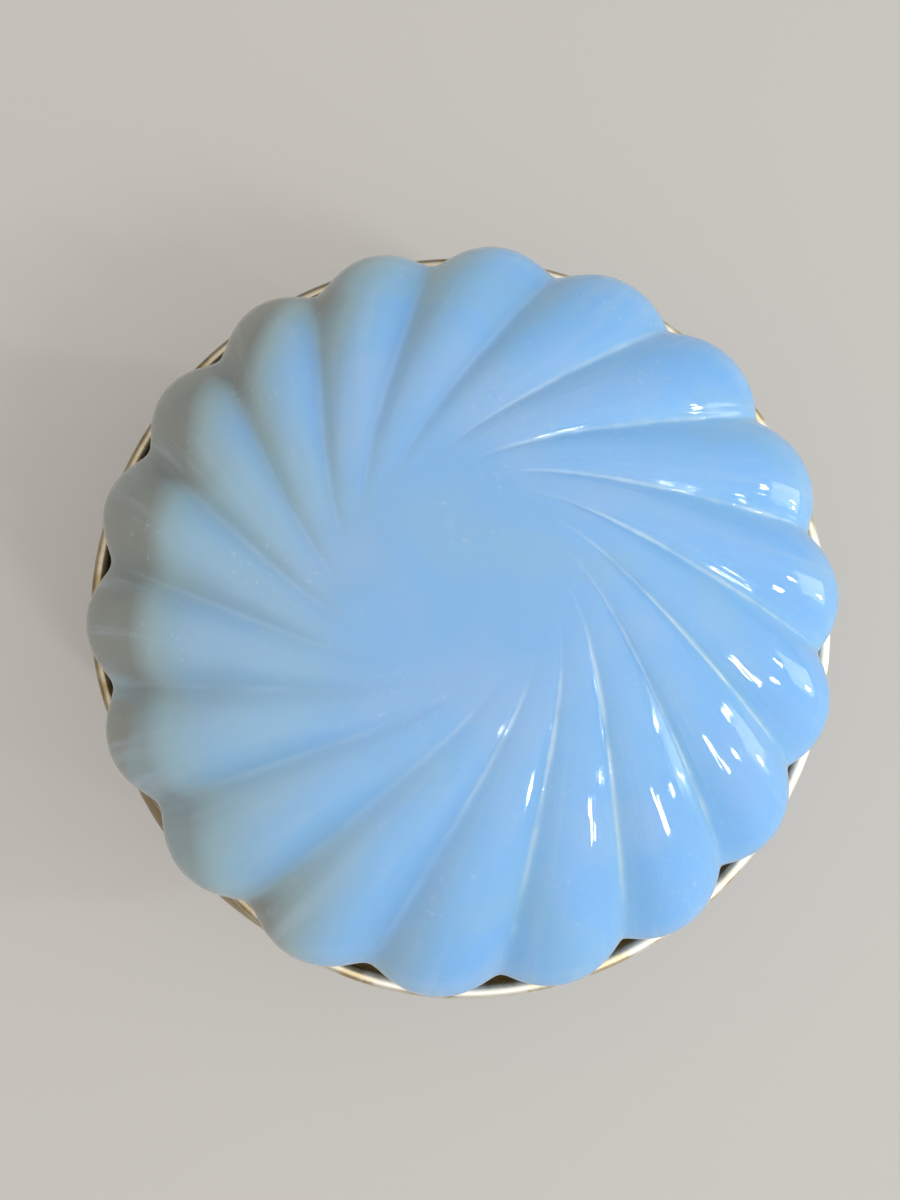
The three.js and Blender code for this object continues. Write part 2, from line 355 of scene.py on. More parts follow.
def opal_colour(look, fluting, light_facing, groove):
    """Colour by how far the glass faces the light: painted light and shade, blue where it faces the light
    and warm grey where it is turned away.
    With cloudy casts, whiter wisps along the swirl, a lighter band along the grooves that is painted
    light, pale creases that are painted highlights, and a greyer tone where the glass is thin."""
    cloud = look.remap(look.noise(20, 2), 0.3, 0.7, -0.07, 0.07)
    colour = look.ramp(look.maths("ADD", light_facing, cloud), OPAL_BY_LIGHT_FACING)
    cast = look.noise(15, 1)
    lilac = look.remap(cast, 0.52, 0.66, 0, 0.3)
    lilac = look.maths("MULTIPLY", lilac, look.remap(light_facing, -0.5, -0.1, 0, 1))
    colour = look.mix(lilac, colour, (0.34, 0.49, 0.72))
    colour = look.mix(look.remap(cast, 0.46, 0.34, 0, 0.30), colour, (0.29, 0.49, 0.62))
    wisp = look.remap(look.noise(2.6, 4, 0.55, flow=True), 0.50, 0.78, 0, 0.3)
    colour = look.mix(look.maths("MULTIPLY", wisp, fluting), colour, (0.46, 0.60, 0.74))
    # Painted light: a lighter blue band along the grooves, stronger where the glass faces the light.
    groove_light = look.maths("MULTIPLY", groove, look.remap(light_facing, -0.3, 0.1, 0.1, 0.42))
    colour = look.mix(groove_light, colour, (0.33, 0.66, 1.0))
    # Painted highlights: pale lines along the creases, strongest where the grooves are crisp, on the side
    # facing the light.
    crease_highlight = look.remap(look.noise(5, 2), 0.35, 0.6, 0.35, 0.85)
    colour = look.mix(look.maths("MULTIPLY", look.attribute("crease"), crease_highlight), colour, (0.60, 0.79, 0.97))
    thin = look.remap(look.attribute("thin"), 0, 1, 0, 0.6)
    return look.mix(thin, colour, (0.46, 0.44, 0.38))


def opal_relief(look, fluting, groove, seeds):
    """Slow waves, ripples drawn out along the swirl and stronger by the grooves, and pits over seeds."""
    rippled = look.maths("ADD", look.maths("MULTIPLY", fluting, 0.15), look.maths("POWER", groove, 0.33))
    ripples = look.maths("MULTIPLY", look.noise(1.1, 2, flow=True), rippled)
    normal = look.bump(look.noise(7, 1), 0.04)
    normal = look.bump(ripples, 0.12, normal)
    return look.bump(seeds, -0.02, normal)


def opal_glass(name):
    """Pressed opalescent glass with patches of fine scuffs, and seeds: small dark bubbles."""
    look = Look(name)
    fluting, groove = look.attribute("fluting"), look.attribute("groove")
    colour = opal_colour(look, fluting, look.attribute("light_facing"), groove)
    patches = look.remap(look.noise(8, 3), 0.52, 0.66, 0, 1)
    scuff = look.maths("MULTIPLY", look.remap(look.noise(0.8, 5, 0.7), 0.56, 0.72, 0, 1), patches)
    colour = look.mix(look.maths("MULTIPLY", scuff, 0.28), colour, (0.70, 0.74, 0.76))
    seeds = look.specks(9, 0.22, 0.22)
    colour = look.mix(look.maths("MULTIPLY", seeds, 0.5), colour, (0.12, 0.16, 0.20))
    smudge = look.remap(look.noise(11, 3), 0.44, 0.68, 0.01, 0.05)
    return look.finish({
        "Base Color": colour,
        "Roughness": look.maths("ADD", smudge, look.maths("MULTIPLY", scuff, 0.2)),
        "Normal": opal_relief(look, fluting, groove, seeds),
        "IOR": 1.52,
        "Subsurface Weight": 1.0,
        "Subsurface Radius": (1.0, 0.8, 0.6),
        "Subsurface Scale": 14 * MM,
    })


def gilt_metal():
    """Lacquered gilt sheet: brushed round the lid, worn pale on its edges, which also paints a highlight
    on the lip's bead, darker in its creases, with painted shade in the trough inside the lip, and painted
    dark over the side turned away from the light: painted shade."""
    look = Look("gilt_metal")
    brush = look.noise(1, 3, 0.6, flow=True)
    tone = look.remap(look.noise(17, 3), 0.35, 0.68, 0, 1)
    colour = look.mix(tone, (0.80, 0.66, 0.40), (0.70, 0.55, 0.30))
    colour = look.mix(look.remap(brush, 0.35, 0.7, 0, 0.35), colour, (0.86, 0.77, 0.56))
    # Painted shade: the side away from the light is painted dark.
    painted_shade_side = look.attribute("painted_shade_side")
    colour = look.mix(painted_shade_side, colour, (0.30, 0.23, 0.12))
    # Wear rubbed pale on the edges, which also paints a highlight on the lip's bead; weaker on the
    # painted-shade side.
    rub_and_highlight = look.maths("MULTIPLY", look.attribute("edge"), look.remap(look.noise(3.5, 4), 0.36, 0.56, 0, 1))
    rub_and_highlight = look.maths("MULTIPLY", rub_and_highlight, look.remap(painted_shade_side, 0, 1, 1, 0.25))
    colour = look.mix(rub_and_highlight, colour, (0.88, 0.85, 0.76))
    patches = look.remap(look.noise(5, 4), 0.3, 0.6, 0.35, 1)
    # Darker in the creases; in the trough inside the lip this is painted shade.
    tarnish_and_shade = look.maths("MULTIPLY", look.attribute("crease"), patches)
    colour = look.mix(tarnish_and_shade, colour, (0.20, 0.14, 0.07))
    spots = look.specks(4, 0.25, 0.12)
    colour = look.mix(look.maths("MULTIPLY", spots, 0.6), colour, (0.24, 0.16, 0.08))
    rough = look.remap(brush, 0.3, 0.75, 0.20, 0.38)
    rough = look.maths("ADD", rough, look.maths("MULTIPLY", tarnish_and_shade, 0.3))
    rough = look.maths("ADD", rough, look.maths("MULTIPLY", rub_and_highlight, 0.25))
    normal = look.bump(brush, 0.006)
    normal = look.bump(look.noise(9, 2), 0.03, normal)
    return look.finish({"Base Color": colour, "Metallic": 1.0, "Roughness": rough, "Normal": normal})


def cap_plastic():
    """Aged white moulded plastic with flow marks."""
    look = Look("cap_plastic")
    age = look.remap(look.noise(14, 3), 0.35, 0.7, 0, 1)
    colour = look.mix(age, (0.86, 0.84, 0.77), (0.80, 0.75, 0.64))
    marks = look.noise(2.5, 3, flow=True)
    colour = look.mix(look.remap(marks, 0.6, 0.8, 0, 0.3), colour, (0.70, 0.66, 0.57))
    normal = look.bump(marks, 0.01)
    normal = look.bump(look.noise(0.35, 2), 0.006, normal)
    rough = look.remap(look.noise(6, 2), 0.3, 0.7, 0.34, 0.5)
    return look.finish({"Base Color": colour, "Roughness": rough, "Normal": normal, "IOR": 1.49})


def pulpboard():
    """Grey-brown board with short fibres and darker flecks."""
    look = Look("pulpboard")
    fibre = look.noise(0.9, 5, 0.65)
    colour = look.mix(look.remap(fibre, 0.35, 0.65, 0, 1), (0.44, 0.36, 0.26), (0.60, 0.52, 0.39))
    colour = look.mix(look.specks(1.1, 0.2, 0.3), colour, (0.28, 0.21, 0.14))
    stain = look.remap(look.noise(15, 3), 0.5, 0.7, 0, 0.5)
    colour = look.mix(stain, colour, (0.38, 0.29, 0.19))
    return look.finish({"Base Color": colour, "Roughness": 0.92, "Normal": look.bump(fibre, 0.08)})


def liner_vinyl():
    """Glossy white film, yellowed in patches."""
    look = Look("liner_vinyl")
    yellowing = look.remap(look.noise(12, 3), 0.4, 0.7, 0, 1)
    colour = look.mix(yellowing, (0.88, 0.87, 0.82), (0.82, 0.78, 0.67))
    rough = look.remap(look.noise(5, 3), 0.35, 0.7, 0.18, 0.36)
    normal = look.bump(look.noise(1.6, 2), 0.012)
    return look.finish({"Base Color": colour, "Roughness": rough, "Normal": normal, "IOR": 1.53})


def cement():
    """Grainy bedding compound with patches of dust, near-black: its darkness is partly painted shade, for
    the dark gap between the glass and the lip.
    """
    look = Look("cement")
    grain = look.noise(0.5, 4, 0.6)
    colour = look.mix(look.remap(grain, 0.35, 0.65, 0, 1), (0.020, 0.015, 0.011), (0.055, 0.042, 0.030))
    dust = look.remap(look.noise(3, 4), 0.5, 0.7, 0, 0.35)
    colour = look.mix(dust, colour, (0.16, 0.13, 0.10))
    return look.finish({"Base Color": colour, "Roughness": 0.95, "Normal": look.bump(grain, 0.15)})


def label_paper():
    """Blank cream paper, browned towards its edge."""
    look = Look("label_paper")
    fibre = look.noise(0.6, 4, 0.6)
    colour = look.mix(look.remap(fibre, 0.35, 0.65, 0, 1), (0.70, 0.60, 0.42), (0.78, 0.69, 0.50))
    age = look.maths("MULTIPLY", look.attribute("edge"), look.remap(look.noise(5, 4), 0.3, 0.6, 0.3, 1))
    colour = look.mix(age, colour, (0.46, 0.33, 0.18))
    return look.finish({"Base Color": colour, "Roughness": 0.88, "Normal": look.bump(fibre, 0.02)})


# ---------------------------------------------------------------- mesh tools

def mesh_piece(name, points, faces, material, sharp=40):
    """A smooth-shaded object from millimetre points; edges sharper than `sharp` degrees stay crisp."""
    mesh = bpy.data.meshes.new(name)
    mesh.from_pydata((np.asarray(points) * MM).tolist(), [], faces)
    mesh.validate()
    mesh.shade_smooth()
    mesh.set_sharp_from_angle(angle=math.radians(sharp))
    mesh.materials.append(material)
    piece = bpy.data.objects.new(name, mesh)
    bpy.context.collection.objects.link(piece)
    return piece


def lathe_faces(rows, steps, start_on_axis, end_on_axis, closed):
    """Faces of a grid of rows x steps points, with a single point for each row on the axis."""
    first = [0]
    for row in range(rows):
        on_axis = (row == 0 and start_on_axis) or (row == rows - 1 and end_on_axis)
        first.append(first[-1] + (1 if on_axis else steps))
    faces = []
    for row in range(rows if closed else rows - 1):
        after = (row + 1) % rows
        a, b = first[row], first[after]
        for i in range(steps):
            j = (i + 1) % steps
            if row == 0 and start_on_axis:
                faces.append((a, b + j, b + i))
            elif after == rows - 1 and end_on_axis:
                faces.append((a + i, a + j, b))
            else:
                faces.append((a + i, a + j, b + j, b + i))
    return faces


def turned_grid(outline, steps):
    """Radii, angles and heights of an outline turned about Z, as rows x steps arrays."""
    outline = np.asarray(outline, float)
    angle = np.linspace(0, 2 * math.pi, steps, endpoint=False)
    radius = np.repeat(outline[:, :1], steps, axis=1)
    height = np.repeat(outline[:, 1:2], steps, axis=1)
    return radius, np.repeat(angle[None], len(outline), axis=0), height


def along(outline):
    """Distance along an outline to each of its points."""
    steps = np.linalg.norm(np.diff(np.asarray(outline, float), axis=0), axis=1)
    return np.concatenate([[0], np.cumsum(steps)])


def grid_piece(name, grid, material, closed=False, values=None, flow=None, sharp=40, shift=0):
    """An object from rows x steps arrays of radius, angle and height. Rows on the axis shrink to one
    point. shift (rows x 1 x 3, in mm) moves whole rows off the axis."""
    radius, angle, height = grid
    rows, steps = radius.shape
    start = not closed and radius[0].max() < 1e-6
    end = not closed and radius[-1].max() < 1e-6
    keep = np.ones((rows, steps), bool)
    if start:
        keep[0, 1:] = False
    if end:
        keep[-1, 1:] = False
    points = np.stack([radius * np.cos(angle), radius * np.sin(angle), height], axis=-1)
    points = (points + shift)[keep]
    piece = mesh_piece(name, points, lathe_faces(rows, steps, start, end, closed), material, sharp)
    for key, array in (values or {}).items():
        layer = piece.data.attributes.new(key, "FLOAT", "POINT")
        layer.data.foreach_set("value", np.broadcast_to(array, (rows, steps))[keep].astype(np.float32))
    if flow is not None:
        layer = piece.data.attributes.new("flow", "FLOAT_VECTOR", "POINT")
        layer.data.foreach_set("vector", flow[keep].astype(np.float32).ravel())
    return piece


def leaning(grid, towards):
    """How far each point of a grid leans to one side: its unit normal's part along `towards`."""
    radius, angle, height = grid
    points = np.stack([radius * np.cos(angle), radius * np.sin(angle), height], axis=-1)
    around = np.roll(points, -1, axis=1) - np.roll(points, 1, axis=1)
    normal = np.cross(around, np.gradient(points, axis=0))
    normal /= np.maximum(np.linalg.norm(normal, axis=-1, keepdims=True), 1e-9)
    return normal @ np.asarray(towards)


def brushed_flow(outline, steps, fine=6.0, reach=6.0):
    """Flow coordinates whose noise makes lines round the axis: quick along the outline, slow around."""
    angle = np.linspace(0, 2 * math.pi, steps, endpoint=False)[None]
    across = fine * along(outline)[:, None] * np.ones_like(angle)
    ones = np.ones_like(across)
    return np.stack([reach * np.cos(angle) * ones, reach * np.sin(angle) * ones, across], axis=-1)


def arc(r, z, radius, start, stop, steps):
    """Points on an arc about (r, z), at angles in degrees from the outward direction."""
    angles = np.radians(np.linspace(start, stop, steps + 1))
    return [(r + radius * math.cos(a), z + radius * math.sin(a)) for a in angles]


def line(start, stop, steps):
    """Points from start to stop, without the last one."""
    return [tuple(np.add(start, np.subtract(stop, start) * i / steps)) for i in range(steps)]


def bezier(points, steps):
    p = np.asarray(points, float)
    t = np.linspace(0, 1, steps + 1)[:, None]
    curve = (1 - t) ** 3 * p[0] + 3 * (1 - t) ** 2 * t * p[1]
    curve += 3 * (1 - t) * t ** 2 * p[2] + t ** 3 * p[3]
    return [tuple(point) for point in curve]


def smoothstep(low, high, x):
    t = np.clip((np.asarray(x, float) - low) / (high - low), 0, 1)
    return t * t * (3 - 2 * t)


# ---------------------------------------------------------------- swirled lobes

def lobe_share(angle):
    """Share of the way across half a lobe: 0 in the groove, 1 on the crest."""
    lobe = angle * LOBES / (2 * math.pi)
    return 1 - 2 * np.abs(lobe - np.round(lobe))


def lobe_rise(angle, fillet, flat):
    """Height of a lobe at an angle: 1 on its crest, 0 in the groove, which is rounded by fillet.

    It is an arc where flat is 0; where flat is 1 it is flatter on top, with narrower grooves."""
    share = lobe_share(angle)
    eased = (np.sqrt(share ** 2 + fillet ** 2) - fillet) / (np.sqrt(1 + fillet ** 2) - fillet)
    across = 1 - eased
    cusp = math.sqrt(LOBE_ROUNDNESS ** 2 - 1)
    rounded = (np.sqrt(LOBE_ROUNDNESS ** 2 - across ** 2) - cusp) / (LOBE_ROUNDNESS - cusp)
    return rounded * (1 - flat) + (1 - across ** FLAT_POWER) * flat


def groove_crispness(angle, twist):
    """1 where grooves are crisp, 0 where they are worn."""
    return smoothstep(-0.25, 0.65, np.cos(angle + twist - CRISP_SIDE))


def outline_tangent(outline):
    """Unit direction of an outline at each of its points."""
    before = np.vstack([outline[:1], outline[:-1]])
    after = np.vstack([outline[1:], outline[-1:]])
    tangent = after - before
    return tangent / np.maximum(np.linalg.norm(tangent, axis=1, keepdims=True), 1e-9)


def painted_light_facing(fluted, smooth):
    """How far each point of the glass faces the light on the right, from its grids with and without
    lobes; the colour paints light and shade from it.
    The far rim, away from the light, counts as facing away more: painted shade."""
    radius, angle, _ = smooth
    share = radius / CREST_RADIUS
    across = share * (OPAL_LIT_SIDE[0] * np.cos(angle) + OPAL_LIT_SIDE[1] * np.sin(angle))
    far_rim_shade = smoothstep(0.66, 0.99, share) * np.clip(-across, 0, 1)
    lobes, whole = leaning(fluted, OPAL_LIT_SIDE), leaning(smooth, OPAL_LIT_SIDE)
    # Painted light and shade: bluer towards the lit side of the whole piece, and painted shade on the far
    # rim.
    return LOBE_LIGHT_SHARE * lobes + (1 - LOBE_LIGHT_SHARE) * whole + 0.25 * across - 0.5 * far_rim_shade


def flute(outline, depth, twist, crease=0.0):
    """Sinks an outline between the lobes, along its normal. depth (mm) and twist (radians) go by row,
    and so does crease, the strength of the narrow crease along the bottom of each groove.

    Returns the grid, the values that opal_glass reads, and flow coordinates along the lobes."""
    outline = np.asarray(outline, float)
    depth, twist, crease = (np.reshape(value, (-1, 1)) for value in (depth, twist, crease))
    radius, angle, height = turned_grid(outline, LOBES * STEPS_PER_LOBE)
    angle = angle + 0.7 / LOBES * np.sin(LOBES * angle)     # closer together in the grooves
    tangent = outline_tangent(outline)
    half_lobe = np.maximum(math.pi * outline[:, :1] / LOBES, 1.5)
    from_groove = half_lobe * lobe_share(angle)
    crisp = groove_crispness(angle, twist)
    fillet = GROOVE_ROUND * (GROOVE_WORN + (1 - GROOVE_WORN) * crisp) / half_lobe
    flat = 1 - smoothstep(0.45 * CREST_RADIUS, 0.9 * CREST_RADIUS, outline[:, :1])
    sink = depth * (1 - lobe_rise(angle, fillet, flat))
    sharpness = 0.15 + 0.85 * crisp
    creased = crease * sharpness * np.exp(-(from_groove / CREASE_WIDTH) ** 2)

    drift = LOBE_DRIFT * np.cos(2 * (angle - LOBE_DRIFT_ANGLE))
    place = angle + LOBE_PHASE + drift + twist
    plain = (radius - sink * tangent[:, 1:], place, height + sink * tangent[:, :1])
    deeper = CREASE_DEPTH * creased
    grid = (plain[0] - deeper * tangent[:, 1:], place, plain[2] + deeper * tangent[:, :1])

    ones = np.ones_like(angle)
    fluting = np.clip(depth / LOBE_DEPTH, 0, 1)
    values = {
        "fluting": fluting * ones,
        "light_facing": painted_light_facing(plain, (radius, place, height)),
        "crease": creased * ones,
        "groove": np.exp(-(from_groove / GROOVE_BAND) ** 2) * smoothstep(0, 0.5, fluting) * sharpness,
    }
    flow = np.stack([CREST_RADIUS * np.cos(angle), CREST_RADIUS * np.sin(angle),
                     0.12 * along(outline)[:, None] * ones], axis=-1)
    return grid, values, flow


# ---------------------------------------------------------------- pieces

def dome_top(share):
    """Height of the dome's superellipse at a share of its radius: 1 at the top, 0 at the widest."""
    return (1 - np.clip(share, 0, 1) ** SQUARENESS) ** (1 / SQUARENESS)


def dome_shares(count):
    """Shares of the radius from 0 to 1 that space points evenly round the superellipse."""
    return np.sin(np.linspace(0, math.pi / 2, count)) ** (2 / SQUARENESS)


def dome_outline():
    """Outline of the dome from the middle of its hollow, round its foot, to the middle of its top, and
    the rows at which the parts below and above its widest level start."""
    hollow_side = WIDEST - HOLLOW_DROP
    hollow_rise = DOME_RISE - DOME_WALL + HOLLOW_DROP
    inside = [(s * HOLLOW_RADIUS, hollow_side + hollow_rise * dome_top(s)) for s in dome_shares(24)]
    inside += line((HOLLOW_RADIUS, hollow_side), (HOLLOW_RADIUS - 0.5, DOME_FOOT + 0.6), 6)[1:]
    foot = arc(HOLLOW_RADIUS + 0.1, DOME_FOOT + 0.6, 0.6, 180, 270, 5)
    foot += line((HOLLOW_RADIUS + 0.1, DOME_FOOT), (DOME_FOOT_RADIUS - 0.6, DOME_FOOT), 4)[1:]
    below = []
    for t in np.linspace(0, 1, 30):
        bevel = 0.6 * (1 - smoothstep(0, 0.07, t))
        r = DOME_FOOT_RADIUS + (CREST_RADIUS - DOME_FOOT_RADIUS) * math.sin(math.pi / 2 * t) - bevel
        below.append((r, DOME_FOOT + (WIDEST - DOME_FOOT) * t))
    above = [(s * CREST_RADIUS, WIDEST + DOME_RISE * dome_top(s)) for s in dome_shares(110)[::-1][1:]]
    first_below = len(inside) + len(foot)
    return np.array(inside + foot + below + above), first_below, first_below + len(below)


def lid_dome(material):
    """Thick glass top: 18 lobes swirl in from the rim and fade out round a smooth centre."""
    outline, first_below, first_above = dome_outline()
    reach = outline[:, 0] / CREST_RADIUS
    depth, twist = np.zeros(len(outline)), np.zeros(len(outline))
    low = slice(first_below, first_above)
    under = (WIDEST - outline[low, 1]) / (WIDEST - DOME_FOOT)
    depth[low] = LOBE_DEPTH * (1 - 0.3 * under)
    twist[low] = DOME_TWIST_BELOW * under
    high = slice(first_above, None)
    share = np.maximum(reach[high], SMOOTH_CENTRE)
    fade = (share - SMOOTH_CENTRE) / (1 - SMOOTH_CENTRE)
    depth[high] = LOBE_DEPTH * fade ** LOBE_FADE
    twist[high] = SWIRL_LEAN * (1 / share - 1) ** SWIRL_POWER
    crease = (depth > 0) * smoothstep(0.24, 0.42, reach) * (1 - smoothstep(0.75, 1, reach))
    grid, values, flow = flute(outline, depth, twist, crease)
    thin = 1 - smoothstep(DOME_FOOT, WIDEST + 1, outline[:, 1])
    values["thin"] = thin[:, None]
    shift = np.zeros((len(outline), 1, 3))
    shift[high, 0, :2] = (1 - reach[high, None]) * SWIRL_EYE
    return grid_piece("swirl_dome", grid, material, values=values, flow=flow, shift=shift)


def thread_rise(angle, height, thread_level, first_angle):
    """How far a two-start thread stands out at an angle (radians) and height, from 0 to 1."""
    degrees = np.degrees(angle)
    rise = np.zeros(np.broadcast(angle, height).shape)
    for start in range(THREAD_STARTS):
        turn = (degrees - first_angle - 360 * start / THREAD_STARTS) % 360
        middle = thread_level + THREAD_LEAD * (first_angle + turn) / 360
        ends = np.clip(np.minimum(turn, THREAD_SWEEP - turn) / THREAD_TAPER, 0, 1)
        flank = smoothstep(THREAD_ROOT, THREAD_CREST * 0.7, np.abs(height - middle))
        rise = np.maximum(rise, flank * smoothstep(0, 1, ends))
    return rise


def jar_outline():
    """Outline of the jar from the middle of its base, up the outside, to the middle of its well, with
    the rows of its fluted wall and those of its neck."""
    bulge = BELLY_RADIUS - FOOT_RADIUS
    recess_edge = FOOT_RADIUS - FOOT_WIDTH
    base = line((0, FOOT_RECESS), (recess_edge - 0.8, FOOT_RECESS), 10)
    base += arc(recess_edge - 0.8, FOOT_RECESS - 0.8, 0.8, 90, 0, 5)
    base += arc(recess_edge + 0.5, 0.5, 0.5, 180, 270, 4)
    base += line((recess_edge + 0.5, 0), (FOOT_RADIUS - 0.5, 0), 6)[1:]
    lower = bezier([(FOOT_RADIUS - 0.5, 0), (FOOT_RADIUS, 0), (FOOT_RADIUS, 0.2), (FOOT_RADIUS, 0.6)], 5)
    lower += bezier([(FOOT_RADIUS, 0.6), (FOOT_RADIUS + 0.55 * bulge, 1),
                     (BELLY_RADIUS, 0.45 * BELLY_HEIGHT), (BELLY_RADIUS, BELLY_HEIGHT)], 44)[1:]
    upper = bezier([(BELLY_RADIUS, BELLY_HEIGHT), (BELLY_RADIUS, 0.8 * SHOULDER),
                    (NECK_RADIUS + 2.6, SHOULDER - 0.6), (NECK_RADIUS, SHOULDER)], 36)[1:]
    lip = 1.4
    neck = line((NECK_RADIUS, SHOULDER), (NECK_RADIUS, RIM - lip), 56)[1:]
    rim = arc(NECK_RADIUS - lip, RIM - lip, lip, 0, 90, 6)
    rim += arc(MOUTH_RADIUS + lip, RIM - lip, lip, 90, 180, 6)
    corner = MOUTH_RADIUS - WELL_FLOOR_RADIUS
    side = WELL_FLOOR + WELL_CORNER
    well = line((MOUTH_RADIUS, RIM - lip), (MOUTH_RADIUS, side), 14)[1:]
    for a in np.radians(np.linspace(0, 90, 24)):
        well.append((WELL_FLOOR_RADIUS + corner * math.cos(a), side - WELL_CORNER * math.sin(a)))
    well += line((WELL_FLOOR_RADIUS, WELL_FLOOR), (0, WELL_FLOOR), 10)[1:] + [(0, WELL_FLOOR)]
    wall_end = len(base + lower + upper)
    fluted, threaded = slice(len(base), wall_end), slice(wall_end, wall_end + len(neck))
    return np.array(base + lower + upper + neck + rim + well), fluted, threaded


def jar(material):
    """Bowl on a foot ring, swirl-fluted outside, with a smooth well and a threaded neck."""
    outline, wall, neck = jar_outline()
    depth, twist = np.zeros(len(outline)), np.zeros(len(outline))
    z = outline[wall, 1]
    depth[wall] = LOBE_DEPTH * smoothstep(1, 9, z) * (1 - smoothstep(SHOULDER - 5, SHOULDER, z))
    twist[wall] = BODY_TWIST * (z / SHOULDER - 1)
    (radius, angle, height), values, flow = flute(outline, depth, twist)
    radius[neck] += THREAD_HEIGHT * thread_rise(angle[neck], height[neck], THREAD_LEVEL, 0)
    foot = (height < 0.01) & (radius > FOOT_RADIUS - FOOT_WIDTH + 0.6) & (radius < FOOT_RADIUS - 0.6)
    height[foot] += 0.05 * (1 + np.cos(96 * angle[foot]))     # grip marks, as pressed jars have
    outer = np.zeros(len(outline))
    outer[:neck.stop] = 1 - smoothstep(0, 7, outline[:neck.stop, 1])
    rim = smoothstep(SHOULDER - 3, RIM, outline[:, 1])
    values["thin"] = np.maximum(0.5 * outer, 0.6 * rim)[:, None]
    return grid_piece("glass_jar", (radius, angle, height), material, values=values, flow=flow)


def pushed_in(angle, height):
    """How far the lip is bent in towards the glass, where it has been knocked."""
    away = np.degrees(np.angle(np.exp(1j * (angle - LIP_KNOCK_ANGLE))))
    return LIP_KNOCK * np.exp(-(away / 25) ** 2) * smoothstep(PANEL_TOP + 0.2, LIP_LEVEL - 0.4, height)


def shell_outline():
    """Outline of the sheet: under the panel, down inside the skirt, up outside it and over the lip."""
    roll = LIP_RADIUS - LIP_BEAD
    inside = roll - LIP_BEAD
    panel_edge = inside - LIP_LEAN - 0.6
    under_edge = inside - LIP_LEAN + SHEET - 0.5
    under = PANEL_TOP - SHEET
    hem = SKIRT_BOTTOM + HEM_RADIUS
    skirt = SKIRT_RADIUS
    lip_start = LIP_LEVEL - LIP_BEAD
    outline = line((0, under), (under_edge, under), 20)
    outline += arc(under_edge, under + 0.5, 0.5, -90, 0, 4)
    outline += arc(roll, LIP_LEVEL, LIP_BEAD - SHEET, 180, 0, 10)
    outline += line((skirt - SHEET, lip_start), (skirt - SHEET, SKIRT_BOTTOM), 20)
    outline += arc(skirt - SHEET / 2, hem, HEM_RADIUS, -90, 60, 12)
    outline += line((skirt, hem + 0.6), (skirt, lip_start), 24)
    outline += arc(roll, LIP_LEVEL, LIP_BEAD, 0, 180, 20)
    outline += line((inside, LIP_LEVEL), (inside - LIP_LEAN, PANEL_TOP + 0.6), 6)[1:]
    outline += arc(panel_edge, PANEL_TOP + 0.6, 0.6, 0, -90, 5)
    outline += line((panel_edge, PANEL_TOP), (0, PANEL_TOP), 20)[1:]
    return np.array(outline + [(0, PANEL_TOP)])


def shell_wear(outline):
    """How far each row of the shell is rubbed pale, as an edge (wear, and a painted highlight on the
    lip's top), and darkened, as a crease (in the trough inside the lip, painted shade).
    """
    r, z = outline.T
    hem = SKIRT_BOTTOM + HEM_RADIUS
    lip_start = LIP_LEVEL - LIP_BEAD
    outside = smoothstep(SKIRT_RADIUS - 0.2, SKIRT_RADIUS + 0.1, r)
    lip_top = smoothstep(LIP_LEVEL - 0.2, LIP_LEVEL + 0.4, z)
    hem_end = 1 - smoothstep(hem - 0.2, hem + 0.4, z)
    under_lip = smoothstep(lip_start - 0.9, lip_start - 0.2, z)
    under_lip *= (1 - smoothstep(lip_start - 0.1, lip_start + 0.35, z)) * outside
    over_hem = smoothstep(hem + 0.2, hem + 0.5, z) * (1 - smoothstep(hem + 0.6, hem + 1.4, z)) * outside
    # The trough inside the lip: its darkening is painted shade.
    well = smoothstep(PANEL_TOP - 0.3, PANEL_TOP - 0.1, z)
    well *= 1 - smoothstep(PANEL_TOP + 0.2, LIP_LEVEL - 0.4, z)
    well *= 1 - smoothstep(LIP_RADIUS - 2 * LIP_BEAD + 0.2, LIP_RADIUS - 2 * LIP_BEAD + 0.4, r)
    return np.maximum(lip_top, hem_end), np.clip(under_lip + over_hem + well, 0, 1)


def gilt_shell(material):
    """Drawn sheet: hemmed skirt, slim rolled lip and the panel that the glass is bedded on."""
    outline = shell_outline()
    radius, angle, height = turned_grid(outline, ROUND_STEPS)
    edge, crease = shell_wear(outline)
    values = {
        "edge": edge[:, None],
        "crease": crease[:, None],
        "painted_shade_side": smoothstep(-0.35, 0.6, -np.cos(angle - GILT_LIT_SIDE)),
    }
    radius = radius - pushed_in(angle, height) * smoothstep(40, 44, radius)
    flow = brushed_flow(outline, ROUND_STEPS)
    return grid_piece("gilt_shell", (radius, angle, height), material, values=values, flow=flow, sharp=50)


